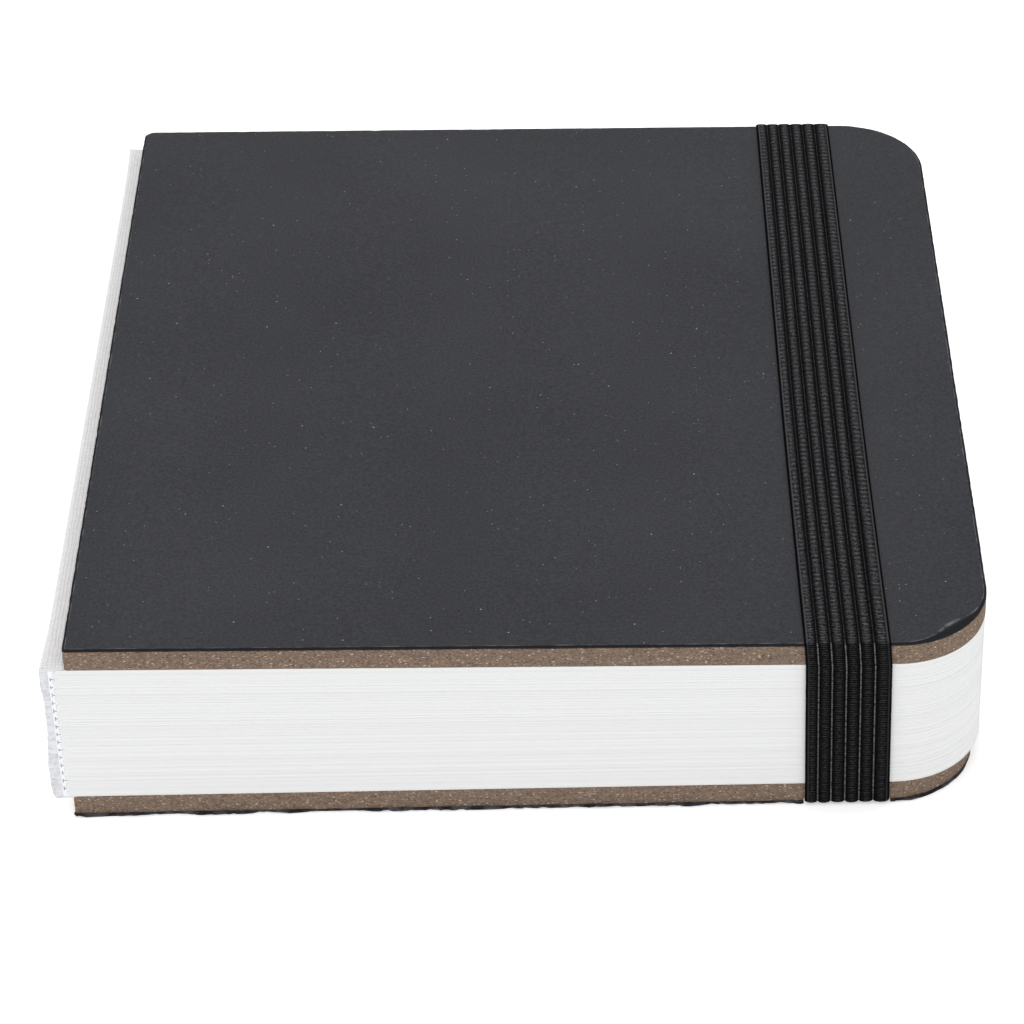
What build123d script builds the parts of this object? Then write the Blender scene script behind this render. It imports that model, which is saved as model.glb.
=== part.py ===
from build123d import *
import os
from math import atan2, cos, degrees, tan

# A small hardback sketchbook, sewn in sections, with flush-cut boards, a cloth spine and a flat
# elastic closure. It lies shut on its rear cover. X runs from the spine to the fore-edge, Y from
# the near end to the far end, and Z up. The origin is the middle of the box at its foot.
# All sizes are in millimetres.

# Pages and sections
page_width = 98.8          # from the fold to the fore-edge
page_height = 105.0
paper_thickness = 0.11
section_count = 16
sheets_per_section = 4     # each is folded once, so a section has twice as many leaves
leaf_air = 0.004           # between two leaves in one half of a section
section_air = 0.02         # between two sections
fore_edge_air = 0.0635     # between the two halves of a section at the fore-edge
corner_radius = 10.0       # the fore-edge corners of the boards and pages, trimmed together

# Sewing
thread_width = 0.5
thread_thickness = 0.13    # pressed flat in the fold; it makes the block thicker at the spine
thread_clearance = 0.0105
thread_end_inset = 12.0    # from the ends of the pages to the last sewing hole

# Spine
cloth_thickness = 0.45
mull_thickness = 0.45
fold_clearance = 0.02      # between the glue and the folds
spine_air = 0.01
flap_reach = 20.0          # from the spine's outer face to the cloth's edge on a board
cloth_corner_radius = 0.55

# Covers
board_thickness = 2.45
cover_paper_thickness = 0.23
pastedown_thickness = 0.12
board_setback = 2.2        # from the spine's outer face to the board, where the bare cloth flexes
board_corner_radius = 0.4  # the board's corners beside the spine

# Elastic closure
band_width = 9.0
band_thickness = 0.5
band_inset = 15.6          # from the fore-edge to the middle of the band
slot_inset = 12.0          # from the ends of the rear board to the band's slots
tail_length = 10.0         # glued between the rear board and its pastedown
band_clearance = 0.02      # to the faces that it lies on
band_side_clearance = 0.1  # to the ends of the pages
slot_clearance = 0.15
band_inner_bend = 0.15
band_joint_rise = 0.13     # from the top of the bend to where the loop leaves its two fixed ends

# Thicknesses that follow
half_stack = sheets_per_section * paper_thickness + (sheets_per_section - 1) * leaf_air
spine_pitch = 2 * (half_stack + thread_clearance) + thread_thickness + section_air
fore_edge_pitch = 2 * half_stack + fore_edge_air + section_air
cover_thickness = pastedown_thickness + board_thickness + cover_paper_thickness

# Places that follow
spine_x = -(page_width + cloth_thickness + mull_thickness) / 2
fore_edge_x = -spine_x
book_width = fore_edge_x - spine_x
mull_x = spine_x + cloth_thickness
glue_x = mull_x + mull_thickness
fold_x = glue_x + fold_clearance + spine_pitch / 2 - section_air / 2
end_y = page_height / 2
block_z = cover_thickness
cover_hinge_z = block_z + section_count * spine_pitch
swell_angle = atan2(section_count * (spine_pitch - fore_edge_pitch), book_width)
band_x = fore_edge_x - band_inset
trim_height = 2 * (cover_hinge_z + cover_thickness)
overrun = 1.0              # how far a blank passes its trimmed edge


def boundary_z(index, x):
    """The height at x of the plane under section block number index, counted from the rear."""
    share = (x - spine_x) / book_width
    return block_z + index * (spine_pitch + share * (fore_edge_pitch - spine_pitch))


def prism(points_xz, half_length):
    """A straight prism along Y from an outline of (x, z) points."""
    outline = Polyline(*[(x, 0, z) for x, z in points_xz], close=True)
    return extrude(Face(Wire(outline.edges())), amount=half_length, dir=(0, 1, 0), both=True)


def block(x_low, x_high, y_low, y_high, z_low, z_high):
    """A box from its two limits along each axis."""
    size = (x_high - x_low, y_high - y_low, z_high - z_low)
    middle = ((x_low + x_high) / 2, (y_low + y_high) / 2, (z_low + z_high) / 2)
    return Pos(*middle) * Box(*size)


def trim_tool(x_low, spine_corner_radius=0.0):
    """The upright block that the guillotine and the corner rounder leave."""
    outline = Pos((x_low + fore_edge_x) / 2, 0) * Rectangle(fore_edge_x - x_low, page_height)
    outline = fillet(outline.vertices().group_by(Axis.X)[-1], corner_radius)
    if spine_corner_radius:
        outline = fillet(outline.vertices().group_by(Axis.X)[0], spine_corner_radius)
    return Pos(0, 0, -trim_height / 2) * extrude(outline, trim_height * 2)


page_trim = trim_tool(spine_x - overrun)
board_trim = trim_tool(spine_x + board_setback, board_corner_radius)


def folded_sheet(index, nest):
    """One sheet folded round the thread: two leaves joined by a half-round fold."""
    end_x = fore_edge_x + overrun

    def leaf_ends(inset):
        low = [(x, 0, boundary_z(index, x) + inset) for x in (fold_x, end_x)]
        high = [(x, 0, boundary_z(index + 1, x) - inset) for x in (fold_x, end_x)]
        radius = (high[0][2] - low[0][2]) / 2
        crown = (fold_x - radius, 0, (high[0][2] + low[0][2]) / 2)
        return low, high, crown

    outside = section_air / 2 + nest * (paper_thickness + leaf_air)
    low, high, crown = leaf_ends(outside)
    inner_low, inner_high, inner_crown = leaf_ends(outside + paper_thickness)
    outline = Wire(
        [
            Edge.make_line(low[0], low[1]),
            Edge.make_line(low[1], inner_low[1]),
            Edge.make_line(inner_low[1], inner_low[0]),
            Edge.make_three_point_arc(inner_low[0], inner_crown, inner_high[0]),
            Edge.make_line(inner_high[0], inner_high[1]),
            Edge.make_line(inner_high[1], high[1]),
            Edge.make_line(high[1], high[0]),
            Edge.make_three_point_arc(high[0], crown, low[0]),
        ]
    )
    sheet = extrude(Face(outline), amount=end_y + overrun, dir=(0, 1, 0), both=True)
    return sheet & page_trim


def section(index):
    """Nested folded sheets, the outermost first."""
    return [folded_sheet(index, nest) for nest in range(sheets_per_section)]


def sewing_thread(index):
    """The run of thread along the inside of one section's fold."""
    x = fold_x + thread_width / 2
    z = (boundary_z(index, x) + boundary_z(index + 1, x)) / 2
    profile = RectangleRounded(thread_width, thread_thickness, thread_thickness * 0.4)
    half_length = end_y - thread_end_inset
    along_fold = Plane((x, 0, z), x_dir=(1, 0, 0), z_dir=(0, 1, 0))
    return [along_fold * extrude(profile, half_length, both=True)]


def spine_mull():
    """Open-weave mull set in glue, with a ridge of glue pressed between each pair of folds."""
    ridge_x = fold_x - 2 * fold_clearance
    top_z = boundary_z(section_count, ridge_x) - spine_air
    lining = block(mull_x, ridge_x, -end_y, end_y, block_z + spine_air, top_z)
    radius = spine_pitch / 2 - section_air / 2 + fold_clearance
    for index in range(section_count):
        z = (boundary_z(index, fold_x) + boundary_z(index + 1, fold_x)) / 2
        lining -= Pos(fold_x, 0, z) * Rot(90, 0, 0) * Cylinder(radius, page_height + 2 * overrun)
    return [lining]


def spine_cloth():
    """The flat of the cloth over the spine, between the two places where it turns onto a board."""
    return [block(spine_x, mull_x, -end_y, end_y, block_z, cover_hinge_z - spine_air)]


# A cover is built with the page side at z = 0 and its outer face upwards, then turned into place.


def pastedown():
    """The end paper glued over the board and the cloth's flap."""
    return block(mull_x, fore_edge_x + overrun, -end_y, end_y, 0, pastedown_thickness) & page_trim


def cloth_flap():
    """The cloth round the corner of the spine, across the bare strip and under the board."""
    top = pastedown_thickness + cloth_thickness
    whole = block(spine_x, spine_x + flap_reach, -end_y, end_y, 0, top)
    corner = whole.edges().filter_by(Axis.Y).group_by(Axis.Z)[-1].sort_by(Axis.X)[0]
    rounded = fillet(corner, cloth_corner_radius)
    under = block(mull_x, spine_x + flap_reach + overrun, -end_y, end_y, -overrun, pastedown_thickness)
    return rounded - under


def board():
    """Grey board, pressed back on its inner face where the cloth's flap lies."""
    low, high = pastedown_thickness, pastedown_thickness + board_thickness
    blank = block(spine_x, fore_edge_x + overrun, -end_y, end_y, low, high)
    rebate = block(spine_x, spine_x + flap_reach, -end_y, end_y, low, low + cloth_thickness)
    return (blank - rebate) & board_trim


def cover_paper():
    """The dark paper laminated to the outer face, cut flush with the board."""
    low = pastedown_thickness + board_thickness
    return block(spine_x, fore_edge_x + overrun, -end_y, end_y, low, cover_thickness) & board_trim


def to_front(piece, tool):
    """Lays a cover piece on the swollen block and trims its fore-edge upright again."""
    turn = Pos(spine_x, 0, cover_hinge_z) * Rot(0, degrees(swell_angle), 0) * Pos(-spine_x, 0, 0)
    return (turn * piece) & tool


def to_rear(piece):
    """Turns a cover piece over, with its outer face on the table."""
    return Pos(0, 0, block_z) * mirror(piece, about=Plane.XY)


def front_cover_top_z(x):
    """The height at x of the front cover's outer face."""
    return cover_hinge_z + cover_thickness / cos(swell_angle) - (x - spine_x) * tan(swell_angle)


def both_ends(piece):
    """The same cut at the near and the far end."""
    return piece + mirror(piece, about=Plane.XZ)


slot_y = -end_y + slot_inset
band_low_x, band_high_x = band_x - band_width / 2, band_x + band_width / 2
leg_z = band_clearance + band_thickness
bend_z = leg_z + band_inner_bend
band_joint_z = bend_z + band_joint_rise
tail_z = block_z - pastedown_thickness - band_thickness


def band_cuts():
    """The room for the elastic in the rear cover: a groove outside, a slot and a recess inside."""
    low, high = band_low_x - slot_clearance, band_high_x + slot_clearance
    side = band_thickness / 2 + slot_clearance
    board_top = block_z - pastedown_thickness
    groove = block(low, high, -end_y - overrun, slot_y, -overrun, leg_z + band_clearance)
    slot = block(low, high, slot_y - side, slot_y + side, -overrun, board_top)
    tail_end = slot_y + tail_length + slot_clearance
    recess = block(low, high, slot_y, tail_end, tail_z - band_clearance, board_top)
    return both_ends(groove + slot + recess)


def near_band_end():
    """The fixed end: up the edge, along the groove, through the slot and glued inside."""
    inner_y = -end_y - band_side_clearance
    bend_y = inner_y + band_inner_bend
    half = band_thickness / 2
    low, high = band_low_x, band_high_x
    upright = block(low, high, inner_y - band_thickness, inner_y, bend_z, band_joint_z)
    bend = Pos(band_x, bend_y, bend_z) * Rot(0, 90, 0) * (
        Cylinder(band_inner_bend + band_thickness, band_width) - Cylinder(band_inner_bend, band_width)
    )
    reach = band_inner_bend + band_thickness
    bend &= block(low, high, bend_y - reach, bend_y, bend_z - reach, bend_z)
    leg = block(low, high, bend_y, slot_y + half, band_clearance, leg_z)
    through = block(low, high, slot_y - half, slot_y + half, band_clearance, tail_z + band_thickness)
    tail = block(low, high, slot_y - half, slot_y + tail_length, tail_z, tail_z + band_thickness)
    return upright + bend + leg + through + tail


def elastic_band():
    """The loop: a strand across the front cover and one down each end of the book."""
    inner_y = end_y + band_side_clearance
    outer_y = inner_y + band_thickness
    inner_z = front_cover_top_z(band_high_x) + band_clearance
    outer_z = front_cover_top_z(band_low_x) + band_clearance + band_thickness

    def arch(half_width, top_z, radius, foot_z):
        whole = block(band_low_x, band_high_x, -half_width, half_width, foot_z, top_z)
        corners = whole.edges().filter_by(Axis.X).group_by(Axis.Z)[-1]
        return fillet(corners, radius)

    loop = arch(outer_y, outer_z, band_inner_bend + band_thickness, band_joint_z)
    loop -= arch(inner_y, inner_z, band_inner_bend, band_joint_z - overrun)
    low, high = band_low_x - overrun, band_high_x + overrun
    on_cover = [(x, front_cover_top_z(x) + band_clearance) for x in (low, high)]
    return loop - prism([(low, block_z), (high, block_z), *reversed(on_cover)], end_y + band_clearance)


cuts = band_cuts()
parts = {
    "rear_cover_paper": [to_rear(cover_paper()) - cuts],
    "rear_board": [to_rear(board()) - cuts],
    "rear_pastedown": [to_rear(pastedown())],
    "spine_cloth_rear_flap": [to_rear(cloth_flap())],
    "spine_cloth": spine_cloth(),
    "spine_mull": spine_mull(),
    "front_cover_paper": [to_front(cover_paper(), board_trim)],
    "front_board": [to_front(board(), board_trim)],
    "front_pastedown": [to_front(pastedown(), page_trim)],
    "spine_cloth_front_flap": [to_front(cloth_flap(), page_trim)],
    "elastic_end_near": [near_band_end()],
    "elastic_end_far": [mirror(near_band_end(), about=Plane.XZ)],
    "elastic_band": [elastic_band()],
}
for index in range(section_count):
    number = section_count - index
    parts[f"section_{number:02d}"] = section(index)
    parts[f"sewing_thread_{number:02d}"] = sewing_thread(index)

os.makedirs("parts", exist_ok=True)
for name, pieces in parts.items():
    solids = [solid for piece in pieces for solid in piece.solids()]
    export_step(solids[0] if len(solids) == 1 else Compound(solids), f"parts/{name}.step")
print("hinge heights", block_z, spine_pitch, cover_hinge_z, "spine", spine_x, "band", band_x)
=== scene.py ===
import bmesh
import bpy
import numpy as np
from mathutils import Matrix


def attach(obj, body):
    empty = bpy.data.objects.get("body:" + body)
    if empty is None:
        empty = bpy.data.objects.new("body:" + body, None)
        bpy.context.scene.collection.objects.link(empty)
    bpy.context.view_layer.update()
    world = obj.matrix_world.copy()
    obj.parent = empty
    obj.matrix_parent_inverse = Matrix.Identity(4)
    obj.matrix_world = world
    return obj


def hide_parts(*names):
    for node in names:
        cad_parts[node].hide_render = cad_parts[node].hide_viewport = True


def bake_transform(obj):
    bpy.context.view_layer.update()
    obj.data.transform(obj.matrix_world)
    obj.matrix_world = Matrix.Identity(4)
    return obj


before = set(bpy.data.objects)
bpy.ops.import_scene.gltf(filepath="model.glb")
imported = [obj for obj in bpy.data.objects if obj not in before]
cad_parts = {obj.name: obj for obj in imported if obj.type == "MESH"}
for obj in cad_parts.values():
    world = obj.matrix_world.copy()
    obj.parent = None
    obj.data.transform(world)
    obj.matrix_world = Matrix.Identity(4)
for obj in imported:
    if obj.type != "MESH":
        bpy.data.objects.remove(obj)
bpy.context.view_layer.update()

# ---- The table, the light and the camera ------------------------------------------------------
# A white sweep under a white studio tent: light comes evenly from all round, with one large soft
# box overhead, so the book keeps only a faint shadow where it touches the table.

mm = 0.001


def linear(hex_colour):
    """sRGB hex to linear: c / 12.92 up to 0.04045, and ((c + 0.055) / 1.055) ^ 2.4 above it."""
    srgb = np.array([int(hex_colour[i:i + 2], 16) for i in (1, 3, 5)]) / 255
    rgb = np.where(srgb <= 0.04045, srgb / 12.92, ((srgb + 0.055) / 1.055) ** 2.4)
    return (*rgb.tolist(), 1.0)


def new_material(name, shader_inputs):
    """A material with its constant values on the shader's own sockets."""
    material = bpy.data.materials.new(name)
    material.use_nodes = True
    tree = material.node_tree
    shader = tree.nodes["Principled BSDF"]
    for socket, value in shader_inputs.items():
        shader.inputs[socket].default_value = value
    return material, tree, shader


def add_object(name, data):
    """Puts a mesh, light or camera in the scene."""
    obj = bpy.data.objects.new(name, data)
    bpy.context.scene.collection.objects.link(obj)
    return obj


table_half, table_z = 3.0, -0.03 * mm
table_mesh = bpy.data.meshes.new("table_sweep")
table_mesh.from_pydata([(x * table_half, y * table_half, table_z)
                        for x, y in ((-1, -1), (1, -1), (1, 1), (-1, 1))], [], [(0, 1, 2, 3)])
table = add_object("table_sweep", table_mesh)
table_paint, tree, shader = new_material("matt_white_sweep", {
    "Base Color": linear("#f4f4f4"), "Roughness": 0.9, "Specular IOR Level": 0.0,
    "Emission Color": (1, 1, 1, 1), "Emission Strength": 0.42})
table_mesh.materials.append(table_paint)

tent = bpy.data.worlds.new("white_tent")
tent.use_nodes = True
tent.node_tree.nodes["Background"].inputs["Color"].default_value = (1, 1, 1, 1)
tent.node_tree.nodes["Background"].inputs["Strength"].default_value = 0.8
bpy.context.scene.world = tent

softbox = bpy.data.lights.new("softbox_overhead", "AREA")
softbox.shape = "RECTANGLE"
softbox.size, softbox.size_y, softbox.energy = 1.0, 1.0, 5.0
softbox_object = add_object("softbox_overhead", softbox)
softbox_object.location = (-0.25, 0.1, 1.1)
softbox_object.rotation_euler = (np.radians(-5), np.radians(-13), 0)

camera_data = bpy.data.cameras.new("camera")
camera_data.lens, camera_data.sensor_width = 132.95, 36.0
camera_data.clip_start, camera_data.clip_end = 0.01, 20.0
camera = add_object("camera", camera_data)
# The camera looks down at the near end, from 8.7 mm to the right of the middle. Its axes:
right = (0.99954691, 0.00630599, -0.02943127)
upward = (0.01984728, 0.5970278, 0.801975)
backward = (0.02262853, -0.80219576, 0.59663214)
camera_place = (8.71 * mm, -360.69 * mm, 268.91 * mm)
camera.matrix_world = Matrix([*zip(right, upward, backward, camera_place), (0, 0, 0, 1)])
bpy.context.scene.camera = camera
bpy.context.scene.view_settings.view_transform = "Standard"

# ---- The sixteen sections of pages ------------------------------------------------------------
# Uncoated white drawing paper. Each section is four sheets nested and folded once, and the block
# is cut on three sides after sewing, with its two fore-edge corners rounded.

page_width, page_depth = 98.8, 105.0
section_count, sheets_per_section = 16, 4
section_air, section_gap, leaf_gap, corner_radius = 0.02, 0.004, 0.008, 10.0
glue_gap = 0.02            # between the mull's ridges and the folds
cloth_thickness, mull_thickness = 0.45, 0.45
block_low, block_pitch, fore_edge_pitch = 2.8, 1.075, 0.9875
spine_x = -(page_width + cloth_thickness + mull_thickness) / 2
fore_edge_x = -spine_x
mull_x = spine_x + cloth_thickness
glue_x = mull_x + mull_thickness
fold_x = glue_x + glue_gap + block_pitch / 2 - section_air / 2
end_y = page_depth / 2


def boundary_z(index, x):
    """The height of the plane under section number index from the rear: it rises by one pitch a
    section, and the pitch shrinks evenly from the spine to the fore-edge."""
    share = (x - spine_x) / (fore_edge_x - spine_x)
    return block_low + index * (block_pitch + share * (fore_edge_pitch - block_pitch))


def bell(distance, width):
    """A bell curve: 1 where the distance is 0, and exp(-1) at the width."""
    return np.exp(-(distance / width) ** 2)


def grid_faces(rows, columns, first=0):
    """The four-sided faces of a grid of points that are numbered row by row."""
    corner = first + np.arange(rows - 1)[:, None] * columns + np.arange(columns - 1)
    return np.stack([corner, corner + columns, corner + columns + 1, corner + 1], -1).reshape(-1, 4)


def sheet_body(top, under):
    """A closed sheet between two grids of points: the top's faces, the under side's faces turned
    over, and a wall round the four edges."""
    rows, columns = top.shape[:2]
    count = rows * columns
    number = np.arange(count).reshape(rows, columns)
    edge = np.concatenate([number[0], number[1:, -1], number[-1, -2::-1], number[-2:0:-1, 0]])
    after = np.roll(edge, -1)
    wall = np.stack([edge, after, after + count, edge + count], -1)
    faces = [grid_faces(rows, columns), grid_faces(rows, columns, count)[:, ::-1], wall]
    return np.concatenate([top.reshape(-1, 3), under.reshape(-1, 3)]), np.concatenate(faces)


def new_piece(name, points, faces, material, uv=None, values=None, sharp=40):
    """A mesh from points in millimetres. uv and each array in values have one row a point."""
    mesh = bpy.data.meshes.new(name)
    mesh.from_pydata((np.asarray(points) * mm).tolist(), [], [list(face) for face in faces])
    mesh.polygons.foreach_set("use_smooth", np.ones(len(mesh.polygons), bool))
    mesh.set_sharp_from_angle(angle=np.radians(sharp))
    if uv is not None:
        corner = np.zeros(len(mesh.loops), np.int32)
        mesh.loops.foreach_get("vertex_index", corner)
        layer = mesh.uv_layers.new(name="millimetres")
        layer.data.foreach_set("uv", np.asarray(uv, np.float32)[corner].ravel())
    for key, value in (values or {}).items():
        attribute = mesh.attributes.new(key, "FLOAT", "POINT")
        attribute.data.foreach_set("value", np.asarray(value, np.float32).ravel())
    mesh.materials.append(material)
    mesh.update()
    return add_object(name, mesh)


def add_node(tree, kind, inputs=None, **settings):
    """Adds one node. An input takes a value, or a socket that is linked to it."""
    node = tree.nodes.new("ShaderNode" + kind)
    for name, value in settings.items():
        setattr(node, name, value)
    for socket, value in (inputs or {}).items():
        if isinstance(value, bpy.types.NodeSocket):
            tree.links.new(value, node.inputs[socket])
        else:
            node.inputs[socket].default_value = value
    return node


def link_finish(tree, shader, colour, bump):
    """Links a material's colour and its bump to the shader."""
    tree.links.new(colour, shader.inputs["Base Color"])
    tree.links.new(bump.outputs[0], shader.inputs["Normal"])


# Bright uncoated paper: quite rough, with no gloss. Sheets differ a little in tone, and the cut
# edges show the fibre. The fibre pattern is 0.25 mm, as coarse as it needs to be to show.
page_paper, tree, shader = new_material("uncoated_drawing_paper", {
    "Roughness": 0.85, "Specular IOR Level": 0.2})
place = add_node(tree, "TexCoord").outputs["Object"]
fibre = add_node(tree, "TexNoise", {"Vector": place, "Scale": 1 / (0.25 * mm), "Detail": 3.0})
tone = add_node(tree, "Attribute", attribute_name="sheet_tone").outputs["Fac"]
mixed = add_node(tree, "Math", {0: fibre.outputs["Fac"], 1: 0.35, 2: tone},
                 operation="MULTIPLY_ADD").outputs[0]
ramp = add_node(tree, "MapRange", {"Value": mixed, "From Min": 0.0, "From Max": 1.35}).outputs[0]
colour = add_node(tree, "Mix", {"Factor": ramp, 6: linear("#d8d8d7"), 7: linear("#e9eaea")},
                  data_type="RGBA").outputs[2]
bump = add_node(tree, "Bump", {"Height": fibre.outputs["Fac"], "Distance": 0.01 * mm,
                               "Strength": 0.6})
link_finish(tree, shader, colour, bump)

corner_turn = np.radians(np.linspace(90, 0, 12))
corner_y = end_y - corner_radius + corner_radius * np.sin(corner_turn)
corner_end = fore_edge_x - corner_radius + corner_radius * np.cos(corner_turn)
middle_y = np.linspace(-(end_y - corner_radius), end_y - corner_radius, 10)[1:-1]
row_y = np.concatenate([-corner_y, middle_y, corner_y[::-1]])
row_end = np.concatenate([corner_end, np.full(8, fore_edge_x), corner_end[::-1]])
run = np.array([1.0, 0.97, 0.88, 0.7, 0.45, 0.2, 0.05, 0.0])
fold_turn = np.linspace(0, np.pi, 11)[1:-1]
thread_room, thread_end, thread_fade, thread_reach = 0.078, 43.0, 0.8, 4.0
middle_gap = 0.003         # between the two leaves of the innermost sheet, each side of the middle


def folded_surface(index, share, trim):
    """One side of a folded sheet: the lower leaf from fore-edge to fold, a half circle whose
    diameter is the leaves' distance at the fold, and the upper leaf back to the fore-edge. Its
    depth in the section is share times half the section's height, less the room that the thread
    takes at the fold, which dies away with a bell curve from the fold and smoothly past its ends."""
    x_leaf = fold_x + run[:, None] * (row_end - trim - fold_x)
    room = thread_room / (1 + np.exp((np.abs(row_y) - thread_end) / thread_fade))
    low, high = boundary_z(index, x_leaf) + section_gap, boundary_z(index + 1, x_leaf) - section_gap
    inset = share * ((high - low) / 2 - middle_gap - room * bell(x_leaf - fold_x, thread_reach))
    radius, middle = ((high - low) / 2 - inset)[-1], ((high + low) / 2)[-1]
    x_fold = fold_x - radius * np.sin(fold_turn)[:, None]
    z_fold = middle - radius * np.cos(fold_turn)[:, None]
    x = np.concatenate([x_leaf, x_fold, x_leaf[::-1]])
    z = np.concatenate([low + inset, z_fold, (high - inset)[::-1]])
    y = np.repeat((row_y * (1 - trim / end_y))[None, :], len(x), 0)
    return np.stack([x, y, z], -1)


most_trim, cover_sheet_trim = 0.015, 0.01     # the knife leaves each sheet a hair shorter
tone_draw = np.random.default_rng(7)
for index in range(section_count):
    number = section_count - index
    points, faces, tones = [], [], []
    for nest in range(sheets_per_section):
        trim = tone_draw.uniform(0.0, most_trim) + (cover_sheet_trim if nest == 0 else 0.0)
        sheet_points, sheet_faces = sheet_body(
            folded_surface(index, nest / sheets_per_section, trim),
            folded_surface(index, (nest + 1) / sheets_per_section - leaf_gap, trim))
        faces.append(sheet_faces + sum(len(p) for p in points))
        points.append(sheet_points)
        tones.append(np.full(len(sheet_points), tone_draw.uniform(0.65, 1.0)))
    section = new_piece(f"leaves_of_section_{number:02d}", np.concatenate(points),
                        np.concatenate(faces), page_paper,
                        values={"sheet_tone": np.concatenate(tones)})
    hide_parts(f"section_{number:02d}")
    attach(section, f"pages_{number:02d}")

# ---- The sewing thread ------------------------------------------------------------------------
# Waxed linen thread, pressed flat inside each section's fold. Its CAD solid has the right shape,
# so only its finish is given here: off-white, with the slant of its three plies.

linen_thread, tree, shader = new_material("waxed_linen_thread", {
    "Roughness": 0.6, "Specular IOR Level": 0.4})
place = add_node(tree, "TexCoord").outputs["Object"]
slant = add_node(tree, "Mapping", {"Vector": place, "Rotation": (0, 0, np.radians(35))})
plies = add_node(tree, "TexWave", {"Vector": slant.outputs[0], "Scale": 1 / (3.2 * mm),
                                   "Distortion": 1.0}, bands_direction="Y")
colour = add_node(tree, "Mix", {"Factor": plies.outputs["Fac"], 6: linear("#c9c3b4"),
                                7: linear("#efebdf")}, data_type="RGBA").outputs[2]
bump = add_node(tree, "Bump", {"Height": plies.outputs["Fac"], "Distance": 0.04 * mm})
link_finish(tree, shader, colour, bump)


def give_finish(name, material):
    """Puts a material on a CAD node whose solid already has the right shape."""
    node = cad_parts[name]
    node.data.materials.clear()
    node.data.materials.append(material)


for number in range(1, section_count + 1):
    give_finish(f"sewing_thread_{number:02d}", linen_thread)

# ---- The mull and glue ------------------------------------------------------------------------
# Open-weave cotton mull set in white glue along the folds, pressed into a ridge between each two
# sections. It is made in strips from mid-section to mid-section.

block_high = block_low + section_count * block_pitch
strip_z = np.concatenate([[block_low], block_low + (np.arange(section_count) + 0.5) * block_pitch,
                          [block_high]])

# Dried glue over cotton: white, painted grey in the beads that stand out between the folds and on
# the ridges' crests. The grey is partly glue and partly painted shade of the voids between the folds.
mull_glue, tree, shader = new_material("glued_mull", {
    "Roughness": 0.55, "Specular IOR Level": 0.4})
glue_and_shade = add_node(tree, "Attribute", attribute_name="glue_and_shade").outputs["Fac"]
place = add_node(tree, "TexCoord").outputs["Object"]
blot = add_node(tree, "TexNoise", {"Vector": place, "Scale": 1 / (0.8 * mm), "Detail": 2.0})
amount = add_node(tree, "Math", {0: glue_and_shade, 1: blot.outputs["Fac"]}, operation="MULTIPLY").outputs[0]
shade = add_node(tree, "MapRange", {"Value": amount, "From Min": 0.1, "From Max": 0.4}).outputs[0]
colour = add_node(tree, "Mix", {"Factor": shade, 6: linear("#eeeef1"), 7: linear("#8c8e96")},
                  data_type="RGBA").outputs[2]
bump = add_node(tree, "Bump", {"Height": blot.outputs["Fac"], "Distance": 0.05 * mm})
link_finish(tree, shader, colour, bump)

fold_radius = block_pitch / 2 - section_air / 2 + glue_gap
least_fold, mull_air = 0.04, 0.005            # the mull's least thickness, and its gap to the cloth
# The second number is how grey a full ridge's crest is painted: partly glue, partly painted shade.
ridge_depth, ridge_glue_and_shade = 0.5, 0.3            # a full ridge, and how grey its crest is
mull_y = np.linspace(-end_y, end_y, 61)
bead_bar, bead_inside, bead_past = 0.08, 0.12, 0.03
bead_draw = np.random.default_rng(5)


def ring_loft(rings):
    """A closed body from a stack of closed outlines: each is joined to the next by four-sided
    faces, and a flat face closes the first and the last."""
    count, size = rings.shape[:2]
    here = np.arange(count - 1)[:, None] * size + np.arange(size)
    after = np.roll(here, -1, 1)
    sides = np.stack([here, after, after + size, here + size], -1).reshape(-1, 4).tolist()
    ends = [np.arange(size)[::-1].tolist(), ((count - 1) * size + np.arange(size)).tolist()]
    return rings.reshape(-1, 3), sides + ends


def glue_bead(z, side_y):
    """A T-shaped bead at one end of the spine, between two folds: a bar of 0.08 by about 0.5 mm
    along the spine, and a stem of about 0.09 by 0.3 mm between the folds. The outline is one closed
    line, carried along the folds from 0.12 mm inside the end to 0.03 mm past it."""
    bar_half, stem_half = bead_draw.uniform(0.16, 0.3), bead_draw.uniform(0.035, 0.05)
    x_bar, reach = mull_x + bead_draw.uniform(0.1, 0.2), bead_draw.uniform(0.2, 0.42)
    lean = bead_draw.uniform(-0.08, 0.08)
    tip, tip_half = bead_bar + reach, stem_half * 0.6
    outline = np.array([(0, -bar_half), (bead_bar, -bar_half), (bead_bar, -stem_half),
                        (tip, -tip_half), (tip, tip_half),
                        (bead_bar, stem_half), (bead_bar, bar_half), (0, bar_half)])
    x, up = x_bar + outline[:, 0], z + outline[:, 1] + lean * outline[:, 0]
    ends = [side_y * (end_y - bead_inside), side_y * (end_y + bead_past)]
    points, faces = ring_loft(np.array([np.stack([x, np.full_like(x, y), up], -1) for y in ends]))
    if side_y > 0:
        faces = [face[::-1] for face in faces]
    return points, faces


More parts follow.
